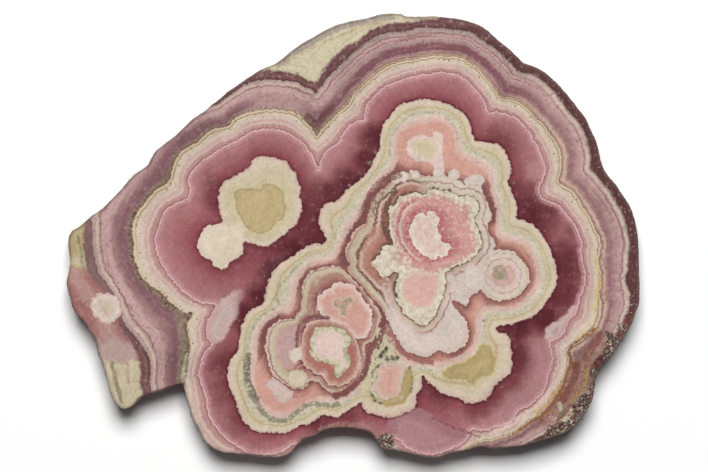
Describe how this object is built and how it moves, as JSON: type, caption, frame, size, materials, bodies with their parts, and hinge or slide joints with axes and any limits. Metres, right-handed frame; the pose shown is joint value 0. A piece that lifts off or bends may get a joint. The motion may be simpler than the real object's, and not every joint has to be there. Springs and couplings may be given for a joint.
{
  "type": "rhodochrosite slice",
  "caption": "Flat polished mineral slice, sawn across a cluster of banded rose and cream stalactites, with a natural uneven rim.",
  "frame": {"origin": "middle of the underside of the slice's box, on its sawn back face", "axes": "+X along the slice's longest way, +Y along its other way in the plane of the slice, +Z out of the polished face"},
  "size_m": [0.1208, 0.0936, 0.007],
  "materials": {
    "rhodochrosite": "polished on the top face, sawn matte on the back, rough natural crust on the rim"
  },
  "bodies": {
    "root": {"rhodochrosite_slice": "rhodochrosite"}
  },
  "joints": []
}
